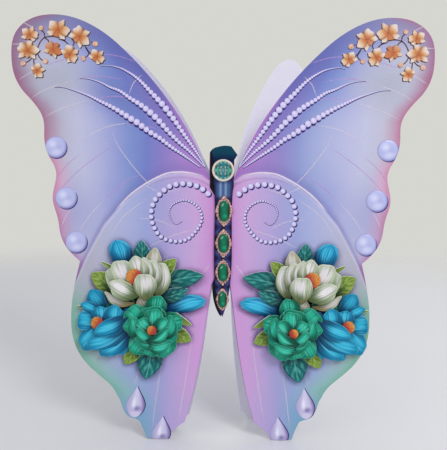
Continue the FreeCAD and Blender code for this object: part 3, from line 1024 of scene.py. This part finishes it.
def petal(bench, side, row, lift, rise, cup):
    """Rounded petal that lifts towards its tip, cups at its sides and may bow sideways."""
    root, tip, width, bow, extra, tone = row
    root, run, beside = spine_of(root, tip)

    def place(a, b):
        reach = (b + 1) / 2
        waist = NECK + (1 - NECK) * math.sin(math.pi / 2 * min(1.0, reach / 0.55))
        wobble = 1 + 0.03 * math.sin(5 * a + 9 * tone) * reach
        sway = bow * math.sin(math.pi * reach)
        spot = root + run * (reach * wobble) + beside * (width / 2 * a * waist + sway)
        height = lift + extra + rise * reach ** 2
        height += cup * (a * a - 0.5) * math.sin(math.pi * min(1.0, reach * 0.8))
        height += 0.1 * math.sin(7 * a + 13 * tone) * reach * reach
        return spray_at(side, spot.x, spot.y, height), (a, reach)

    lay_round(bench, PETAL_CELLS, place, tone=tone)


def leaf(bench, side, row):
    """Pointed leaf with a sunk midrib, or a closed bud with a notched end."""
    root, tip, width, kind, tone = row
    root, run, beside = spine_of(root, tip)
    bud = kind == BUD_KIND

    def bud_outline(s, t):
        if t < 0.6:
            belly = 0.45 + 0.55 * math.sin(math.pi / 2 * min(1.0, t / 0.6))
        else:
            belly = 1 - 0.42 * ((t - 0.6) / 0.4) ** 1.6
        return belly, t - 0.09 * t * t * abs(s) - 0.05 * t * t * math.sin(3 * math.pi * s) ** 2

    def place(s, t):
        belly, end = bud_outline(s, t) if bud else (math.sin(math.pi * t ** 0.92) ** 0.8, t)
        teeth = 1.0 if bud or abs(s) < 0.99 else 1 - 0.06 * ((t * 9) % 1)
        sway = 0.05 * run.length * math.sin(math.pi * t) * (1 if tone > 0.5 else -1)
        spot = root + run * end + beside * (s * width / 2 * belly * teeth + sway)
        dome = (1 - s * s) if bud else abs(s) * 0.7
        height = LEAF_LIFT - 0.2 + dome * 0.9 * belly + 0.5 * t * t
        return spray_at(side, spot.x, spot.y, height), (s, t)

    lay(bench, LEAF_CELLS, place, kind, tone)


def shade_under(bench, side, root, tip, width):
    """Soft shade on the wing layer around one leaf or petal."""
    middle = (Vector(root) + Vector(tip)) / 2
    _, run, beside = spine_of(root, tip)

    def place(a, b):
        spot = middle + run * (b * 0.66) + beside * (width * 0.78 * a) + SHADE_FALL
        return spray_at(side, spot.x, spot.y, LAYER_LIFT + SHADE_LIFT), (a, b)

    lay_round(bench, SHADE_CELLS, place)


# Printed orchids: place, size, turn and tone; buds: place and size; stems: points
STEM_WIDTH = 0.55
ORCHIDS = [
    ((78.0, 191.6), 5.6, 20, 0.35), ((67.8, 188.6), 5.4, 50, 0.2), ((92.2, 181.8), 5.4, 5, 0.15),
    ((80.4, 182.4), 4.4, 30, 0.75), ((72.4, 180.4), 4.6, 60, 0.3), ((91.4, 189.4), 4.2, 15, 0.3),
    ((59.6, 179.2), 4.0, 40, 0.35), ((87.6, 172.4), 3.7, 70, 0.25),
]
ORCHID_BUDS = [
    ((86.1, 192.6), 1.3), ((60.4, 185.4), 1.5), ((66.0, 178.4), 1.3), ((83.8, 177.0), 1.4),
    ((94.4, 175.8), 1.4),
]
STEMS = [
    [(74.5, 186.5), (79.5, 188.6), (84.5, 188.0), (87.2, 184.2), (87.4, 180.4), (85.8, 177.8),
     (84.0, 177.2)],
    [(86.4, 191.8), (84.6, 190.4), (84.2, 187.9)],
    [(84.6, 188.2), (82.6, 186.8), (82.3, 184.6)],
    [(88.6, 182.5), (89.4, 178.6), (88.9, 174.0)],
    [(89.2, 179.5), (91.6, 177.0), (94.0, 176.0)],
    [(71.5, 183.0), (74.5, 186.4), (77.5, 187.4)],
    [(66.4, 187.0), (63.8, 182.0), (60.4, 179.8)],
    [(64.6, 183.6), (63.4, 180.6), (65.6, 178.5)],
    [(62.5, 186.4), (61.5, 185.8), (60.4, 185.4)],
    [(71.8, 188.0), (70.4, 185.8), (72.0, 182.5)],
]


# Petals of an orchid: bearing in degrees, length and width as shares of its size, warmth
ORCHID_PETALS = [
    (98, 0.96, 0.56, 0.3), (218, 0.9, 0.54, -0.2), (322, 0.94, 0.56, -0.15), (26, 0.96, 0.96, 0.0),
    (168, 0.98, 0.9, 0.2), (272, 0.6, 0.5, 0.6),
]


def orchid(bench, side, centre, size, turn, tone):
    """Five petals and a lip in low relief, over their printed shadow."""
    for layer, slot, shift in ((0, 1, Vector((-0.4, -0.35))), (1, 0, Vector((0, 0)))):
        middle = Vector(centre) + shift
        for number, (angle, length, width, warmth) in enumerate(ORCHID_PETALS):
            heading = math.radians(turn + angle)
            along = Vector((math.cos(heading), math.sin(heading)))
            beside = Vector((-along.y, along.x))

            def place(a, b):
                reach = (b + 1) / 2
                waist = 0.3 + 0.7 * math.sin(math.pi / 2 * min(1.0, reach / 0.7))
                waist -= 0.25 * max(0.0, reach - 0.75)
                ruffle = 1 + 0.09 * math.sin(4.2 * a + number * 2.1 + turn) * reach
                spot = middle + along * (size * length * reach * ruffle)
                spot += beside * (size * width / 2 * a * waist)
                lift = 0.05 + layer * (0.08 + 0.03 * number + 0.2 * reach * (1 - reach))
                return at(side, spot.x, spot.y, lift), (a, reach)

            lay_round(bench, ORCHID_CELLS, place, slot, max(0.0, min(0.95, tone + warmth)))


# Printed veins of the wings and of the raised layer, and the line over the lower wing
VEIN_WIDTH = 0.75
ARC_WIDTH = 1.3
ARC_LIFT = 0.035
PALE_VEINS = [
    [(95.4, 195.6), (91.8, 193.9), (88.5, 191.8)],
    [(99.6, 184.9), (95.6, 185.0)],
    [(96.9, 167.8), (90.4, 171.8), (84.0, 175.0)],
    [(90.8, 159.2), (85.6, 162.6), (78.0, 165.8), (70.0, 168.0)],
    [(84.4, 150.4), (78.0, 153.8), (70.0, 156.8), (60.6, 159.4)],
    [(67.1, 139.8), (60.4, 143.6), (54.0, 146.4), (46.0, 147.9), (36.5, 147.4)],
    [(75.4, 99.4), (73.6, 103.4), (71.2, 107.2)],
    [(37.9, 171.4), (42.2, 167.0), (44.4, 161.0)],
    [(52.3, 145.0), (49.4, 138.0), (43.4, 129.6), (36.4, 121.6), (29.3, 115.6)],
    [(66.9, 97.4), (62.0, 104.6), (55.0, 112.4)],
]
PINK_VEINS = [
    [(84.0, 175.0), (76.0, 177.6), (68.0, 179.2)],
    [(59.0, 180.6), (50.0, 179.9), (40.2, 176.8)],
    [(70.0, 168.0), (60.0, 170.2), (46.0, 168.6)],
    [(60.6, 159.4), (50.0, 160.8), (38.4, 158.8)],
    [(46.5, 147.8), (38.0, 147.4), (30.2, 145.4)],
    [(36.0, 160.4), (31.0, 159.6), (27.0, 157.0)],
    [(77.0, 115.8), (66.0, 127.0), (50.4, 138.2)],
    [(55.0, 112.4), (46.8, 119.4), (37.8, 124.6)],
    [(78.4, 121.0), (73.4, 127.8), (66.6, 133.8)],
]
ARC_LINE = [
    (64.8, 81.0), (60.8, 89.4), (54.9, 100.0), (43.2, 114.3), (29.2, 123.4), (19.8, 125.4),
    (10.3, 124.0), (6.0, 121.4),
]
LAYER_VEINS = [
    [(52.1, 94.6), (45.2, 104.8), (33.6, 113.4)],
    [(38.9, 103.4), (29.1, 102.4), (20.4, 98.2)],
    [(34.6, 89.6), (24.2, 94.8), (10.0, 99.4)],
    [(34.6, 109.0), (27.1, 114.9), (18.4, 118.0)],
    [(35.4, 118.6), (30.0, 116.0)],
    [(36.4, 37.0), (38.6, 30.0), (40.4, 24.6)],
    [(27.0, 37.0), (29.6, 20.0), (31.6, 3.6)],
    [(12.4, 53.0), (16.0, 28.0), (19.9, 4.6)],
    [(4.4, 83.0), (9.0, 77.2), (14.4, 72.6)],
    [(58.6, 36.0), (54.0, 44.0), (50.6, 50.0)],
]


def layer_across(side, across, share=1.0):
    """Place of the raised layer's print, which lies further out on the right."""
    return across + (RIGHT_PRINT_SHIFT * share if side > 0 else 0.0)


def bead_strings(bench, side):
    """Three strings of beads from the wing's middle to its root, over a dark line."""
    for points in STRINGS:
        printed_line(bench, side, points[-6:], ROOT_LINE_WIDTH, PRINT_LIFT, slot=1, taper=0.75)
        string_of_beads(bench, side, points, 0.0, string_bead, gap=0.96, shift=(-0.2 * side, -0.5))


def bead_spiral(bench, side):
    """Spiral of beads on the raised layer."""
    points = [(layer_across(side, across), up) for across, up in SPIRAL]
    string_of_beads(bench, side, points, LAYER_LIFT, spiral_bead, gap=1.22, shift=(0.32, -0.26))


def big_pearls(bench, side):
    """Three pearls down the wing's outer edge, over their shadows."""
    for spot in BIG_PEARLS:
        centre = at(side, *spot, PEARL_LIFT)
        disc(bench, centre + PEARL_SHADOW_FALL, BIG_PEARL_RADIUS, dome=0.0, slot=1, segments=40)
        low_pearl(bench, centre, BIG_PEARL_RADIUS, BIG_PEARL_DOME)


def drops(bench, side):
    """Pear-shaped pearls in low relief over their shadows, cut off level with the foot of the card."""
    for (across, up), half_width, half_height in DROPS:
        middle = layer_across(side, across, 0.6)
        for slot, aside, lift, dome in DROP_LAYERS:
            def place(a, b):
                taper = 1.0 if b < -0.3 else 1 - ((b + 0.3) / 1.3) ** 1.35 * 0.93
                x = side * (middle - DROP_LEAN * (1 + b)) + half_width * a * taper + aside
                z = max(up + half_height * b, DROP_FOOT)
                return at(1, x, z, LAYER_LIFT + lift + dome * (1 - a * a - b * b)), (a, b)

            lay_round(bench, PETAL_CELLS, place, slot)


def orchid_stems(bench, side):
    """Stems and buds between the orchids, each bud over a shadow in the stems' colour."""
    for points in STEMS:
        printed_line(bench, side, points, STEM_WIDTH, STEM_LIFT, taper=0.3)
    for spot, radius in ORCHID_BUDS:
        # A shadow in the stems' colour, moved down and aside, under each bud.
        disc(bench, at(side, spot[0] - 0.2, spot[1] - 0.25, SHADE_LIFT), radius * 0.85, dome=0.0)
        disc(bench, at(side, *spot, 0.1), radius * 0.85, dome=0.3, slot=1, tone=0.35)


def orchids(bench, side):
    """All orchids of one wing."""
    for row in ORCHIDS:
        orchid(bench, side, *row)


def veins(bench, side):
    """Pale and pink veins, and the printed line over the lower wing."""
    for points in PALE_VEINS:
        printed_line(bench, side, points, VEIN_WIDTH, PRINT_LIFT)
    for points in PINK_VEINS:
        printed_line(bench, side, points, VEIN_WIDTH, PRINT_LIFT, slot=1)
    printed_line(bench, side, ARC_LINE, ARC_WIDTH, ARC_LIFT, slot=2, taper=0.2)
    for points in LAYER_VEINS:
        moved = [(layer_across(side, across), up) for across, up in points]
        printed_line(bench, side, moved, VEIN_WIDTH, LAYER_LIFT + PRINT_LIFT)


def print_on_wings():
    """Bead strings, spirals, pearls, drops, orchids, stems and veins of both wings."""
    prints = [
        ("bead_strings", bead_strings, BEAD, SHADOW),
        ("bead_spiral", bead_spiral, BEAD, SHADOW),
        ("printed_pearls", big_pearls, PEARL, SHADOW),
        ("printed_drops", drops, DROP, SHADOW),
        ("orchid_stems", orchid_stems, STEM, BUD),
        ("orchids", orchids, ORCHID, STEM),
        ("printed_veins", veins, PALE_LINE, PINK_LINE, ARC),
    ]
    for name, side in SIDES.items():
        for piece, draw, *finishes in prints:
            bench = new_bench()
            draw(bench, side)
            finished(piece + "_" + name, bench, *finishes)


# Settings from the top: place up, then half width and half height of the setting and its stone.
# The raised ring is a share of the setting's size.
GEMS = [
    (107.1, 4.15, 7.4, 2.45, 4.9), (92.1, 3.95, 6.8, 2.4, 4.4),
    (78.5, 3.75, 6.3, 2.3, 4.1), (65.9, 3.1, 5.5, 1.9, 3.8),
]
SETTING_BEADS = 18
RING = 0.72
MEDALLION_UP = 126.15
MEDALLION_RADIUS = 5.2


def gem_settings(bench, middle, half_width, half_height):
    """Pointed oval setting with a raised ring and a round of small beads."""
    def rim(a, b):
        far = math.hypot(a, b)
        turn = math.atan2(b, a)
        edge = 0.82 + 0.16 * abs(math.cos(2 * turn)) ** 7 + 0.03 * math.cos(20 * turn)
        reach = RING + (far - RING) * (edge - RING) / (1 - RING) if far > RING else far
        x = half_width * reach * math.copysign(abs(math.cos(turn)) ** 0.8, a)
        z = half_height * reach * math.copysign(abs(math.sin(turn)) ** 0.8, b)
        ridge = 0.3 * max(0.0, 1 - abs(far - RING - 0.02) / 0.2)
        return middle + Vector((x, -0.06 - ridge, z)) * MM, (a, b)

    lay_round(bench, SETTING_CELLS, rim)
    out = RING + 0.04
    for bead in range(SETTING_BEADS):
        turn = math.tau * (bead + 0.5) / SETTING_BEADS
        spot = Vector((half_width * out * math.cos(turn), -0.3, half_height * out * math.sin(turn)))
        disc(bench, middle + spot * MM, 0.26, dome=0.18, segments=8)


def gem_stone(bench, middle, half_width, half_height):
    """Long cabochon with nearly straight sides."""
    def dome(a, b):
        round_off = (1 - abs(b) ** 3.2) ** 0.5 if abs(b) < 1 else 0.0
        swell = min(1.12, 1 / max(0.35, math.sqrt(max(1e-6, 1 - b * b * 0.72))))
        height = 0.35 + 0.55 * math.sqrt(max(0.0, 1 - min(1.0, a * a + b * b))) * max(round_off, 0.3)
        return middle + Vector((half_width * a * swell, -height, half_height * b)) * MM, (a, b)

    lay_round(bench, STONE_CELLS, dome)


def body_jewels():
    """Four rose-gold settings with emeralds, and the round medallion."""
    settings = new_bench()
    stones = new_bench()
    for number, (up, half_width, half_height, stone_width, stone_height) in enumerate(GEMS):
        middle = at(1, BODY_SHIFT + 0.35 - 0.12 * number, up, BODY_LIFT)
        gem_settings(settings, middle, half_width, half_height)
        gem_stone(stones, middle, stone_width, stone_height)
    finished("rose_gold_settings", settings, ROSE_GOLD)
    finished("emerald_stones", stones, EMERALD)

    bench = new_bench()
    centre = at(1, BODY_SHIFT - 0.25, MEDALLION_UP, BODY_LIFT)

    def round_face(a, b):
        far = math.hypot(a, b)
        height = 0.02 if far > 0.99 else 0.1 + 0.25 * math.exp(-((far - 0.9) / 0.09) ** 2)
        return centre + Vector((MEDALLION_RADIUS * a, -height, MEDALLION_RADIUS * b)) * MM, (a, b)

    lay_round(bench, MEDALLION_CELLS, round_face)
    finished("medallion_face", bench, MEDALLION)


# Leafy discs behind the flowers: place out, rise and radius
BASE_DISCS = [(-1.6, 12.2, 10.6), (13.0, -8.3, 10.0), (-9.4, -9.4, 10.4), (0.5, -1.5, 8.6)]

# Stamens with the petals in front of them: place, radius, lift and dome of the stamens,
# then the petals' rows, lift, rise and cup
HEARTS = {
    "magnolia_front": ((-0.6, 13.6), 3.7, 1.05, 1.0, MAGNOLIA_CUP, 1.0, 0.9, -0.2),
    "blue_flower_front": ((16.4, -8.0), 2.9, 0.3, 1.0, BLUE_CUP, 0.6, 0.9, -0.4),
    "green_flower_heart": ((-9.3, -10.2), 2.15, 0.7, 1.1, GREEN_CUP, 0.8, 0.5, 0.3),
}


def flower_sprays():
    """Leaves and petal layers of both sprays, which stand for the flat cut layers."""
    layers = [
        ("magnolia_back", MAGNOLIA_BACK, CREAM, 0.8, -0.4),
        ("magnolia_front", MAGNOLIA_FRONT, CREAM, 1.2, 0.35),
        ("blue_flower_back", BLUE_BACK, BLUE, 0.8, -0.45),
        ("blue_flower_front", BLUE_FRONT, BLUE, 1.0, -0.35),
        ("green_flower_back", GREEN_BACK, GREEN, 0.8, -0.4),
        ("green_flower_middle", GREEN_MIDDLE, GREEN, 1.1, 0.45),
        ("green_flower_heart", GREEN_HEART, GREEN, 0.9, -0.35),
    ]
    for name, side in SIDES.items():
        bench = new_bench()
        for out, rise, radius in BASE_DISCS:
            disc(bench, spray_at(side, out, rise, LEAF_LIFT - 0.1), radius, dome=0.0, segments=8)
        for row in LEAVES:
            leaf(bench, side, row)
        piece = finished(
            "spray_leaves_" + name, bench, TEAL_LEAF, CUT_EDGE, LIME_LEAF, CUT_EDGE, BLUE_BUD, CUT_EDGE
        )
        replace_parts(card_sheet(piece, LEAF_CARD), "spray_base_" + name)

        bench = new_bench()
        for root, tip, width, *_ in LEAVES + BLUE_BACK + GREEN_BACK + MAGNOLIA_BACK:
            shade_under(bench, side, root, tip, width)
        finished("spray_shade_" + name, bench, SHADE)

        for layer, petals, finish, rise, cup in layers:
            lift = lift_of(layer + "_" + name) - CARD / 2
            bench = new_bench()
            for row in petals:
                petal(bench, side, row, lift, rise, cup)
            if layer in HEARTS:
                spot, radius, tuft_lift, dome, cup_petals, cup_lift, cup_rise, cup_bend = HEARTS[layer]
                low_pearl(bench, spray_at(side, *spot, lift + tuft_lift), radius, dome, 2, max(side, 0))
                for row in cup_petals:
                    petal(bench, side, row, lift + cup_lift, cup_rise, cup_bend)
            piece = finished(layer + "_petals_" + name, bench, finish, CUT_EDGE, STAMENS, CUT_EDGE)
            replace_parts(card_sheet(piece, PETAL_CARD, 0), layer + "_" + name)


def dress_nodes():
    """Finishes of the nodes that stay as they are cut."""
    wings = wing_print()
    pads = foam()
    finishes = {
        "front_sheet": wings,
        "wing_layer_left": wings,
        "wing_layer_right": wings,
        "rear_sheet": plain_card("lavender_card", (224, 221, 236), (216, 213, 230)),
        "spine_tape": tape(),
        "body_layer": body_print(),
    }
    for name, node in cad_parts.items():
        finish = pads if "pads" in name else finishes.get(name)
        if finish:
            node.material_slots[0].material = finish.material


CUT_EDGE = plain_card("cut_edge", (240, 239, 242), (232, 231, 235))
PEARL = pearl_print()
BEAD = bead_print()
DROP = drop_print()
SHADOW = flat_print("shadow_print", (36, 32, 96), (58, 50, 122))
SHADE = soft_shadow()
STEM = flat_print("stem_print", (62, 52, 62), (96, 78, 80))
ORCHID = orchid_print()
BUD = flat_print("bud_print", (204, 146, 116), (228, 192, 172))
PALE_LINE = soft_line("pale_vein_print", (226, 216, 226), 0.6)
PINK_LINE = soft_line("pink_vein_print", (206, 162, 220), 0.5)
ARC = soft_line("wing_line_print", (228, 214, 232), 0.95)
CREAM = petal_print(
    "cream_petal_print", (70, 92, 50), (172, 186, 154), (226, 220, 226), (232, 234, 222), (156, 132, 88)
)
BLUE = petal_print("blue_petal_print", (0, 52, 88), (0, 118, 160), (46, 178, 212), (96, 200, 226))
GREEN = petal_print("green_petal_print", (0, 66, 54), (0, 120, 92), (42, 188, 158), (104, 210, 182))
TEAL_LEAF = leaf_print("teal_leaf_print", (0, 44, 54), (8, 104, 104), (104, 194, 178), (0, 58, 70))
LIME_LEAF = leaf_print("lime_leaf_print", (26, 54, 20), (112, 142, 56), (186, 206, 112), (164, 180, 84))
BLUE_BUD = petal_print("blue_bud_print", (0, 50, 92), (0, 130, 176), (52, 186, 224), (100, 200, 232))
STAMENS = stamens()
ROSE_GOLD = rose_gold()
EMERALD = emerald()
MEDALLION = medallion_print()


def pale_room():
    """Soft light from all around, and a pale grey wall for the camera."""
    world = bpy.data.worlds.new("pale_room")
    world.use_nodes = True
    tree = world.node_tree
    ground = tree.nodes["Background"]
    ground.inputs[0].default_value = shade(250, 251, 253)
    ground.inputs[1].default_value = ROOM_LIGHT
    seen = tree.nodes.new("ShaderNodeBackground")
    seen.inputs[0].default_value = shade(214, 214, 209)
    path = tree.nodes.new("ShaderNodeLightPath")
    either = tree.nodes.new("ShaderNodeMixShader")
    tree.links.new(path.outputs["Is Camera Ray"], either.inputs[0])
    tree.links.new(ground.outputs[0], either.inputs[1])
    tree.links.new(seen.outputs[0], either.inputs[2])
    tree.links.new(either.outputs[0], tree.nodes["World Output"].inputs[0])
    return world


def pale_table():
    """Round table top that fades into the wall's colour, with painted light that leaves it darker on the
    left and lighter on the right.
    """
    bench = bmesh.new()
    bmesh.ops.create_circle(bench, cap_ends=True, segments=96, radius=TABLE_RADIUS)
    mesh = bpy.data.meshes.new("pale_table")
    bench.to_mesh(mesh)
    bench.free()
    table = bpy.data.objects.new("pale_table", mesh)
    bpy.context.scene.collection.objects.link(table)
    finish = Finish("pale_table", roughness=0.38, gloss=0.35)
    spot = finish.spot()
    # Painted light and shade: the table top darker towards the left and lighter towards the right.
    side = finish.parts(spot)[0] + finish.object_speckle(6.0) * 0.1
    finish.set("Base Color", finish.blend((206, 206, 212), (232, 232, 235), side.rising(-0.35, 0.35)))
    finish.set("Alpha", finish.length(spot).falling(0.25, 1.1))
    mesh.materials.append(finish.material)


def lamp(name, place, size, energy):
    """Round soft lamp aimed at the middle of the card."""
    light = bpy.data.lights.new(name, "AREA")
    light.shape = "DISK"
    light.size = size
    light.energy = energy
    holder = bpy.data.objects.new(name, light)
    holder.location = place
    holder.rotation_mode = "QUATERNION"
    aim = Vector((0, 0, 0.1)) - Vector(place)
    holder.rotation_quaternion = aim.to_track_quat("-Z", "Y")
    bpy.context.scene.collection.objects.link(holder)


def viewpoint():
    """Camera at the photo's distance, height and slight roll."""
    lens = bpy.data.cameras.new("viewpoint")
    lens.sensor_fit = "HORIZONTAL"
    lens.sensor_width = 36
    lens.lens = lens.sensor_width
    lens.shift_y = -HORIZON_ABOVE_MIDDLE / VIEW_WIDTH
    lens.clip_start = 0.01
    camera = bpy.data.objects.new("viewpoint", lens)
    place = Matrix.Translation((VIEW_ACROSS, FACE - VIEW_DISTANCE, VIEW_HEIGHT))
    level = Matrix.Rotation(math.pi / 2, 4, "X")
    camera.matrix_world = place @ Matrix.Rotation(-ROLL, 4, "Y") @ level
    bpy.context.scene.collection.objects.link(camera)
    return camera


def studio():
    """Pale table, soft light and the camera."""
    scene = bpy.context.scene
    scene.view_settings.view_transform = "Standard"
    scene.world = pale_room()
    pale_table()
    lamp("window", (0.5, -0.8, 0.75), 0.4, KEY_LIGHT)
    lamp("room_fill", (-0.85, -0.75, 0.5), 0.7, KEY_LIGHT * 0.18)
    scene.camera = viewpoint()


dress_nodes()
print_on_wings()
body_jewels()
flower_sprays()
studio()
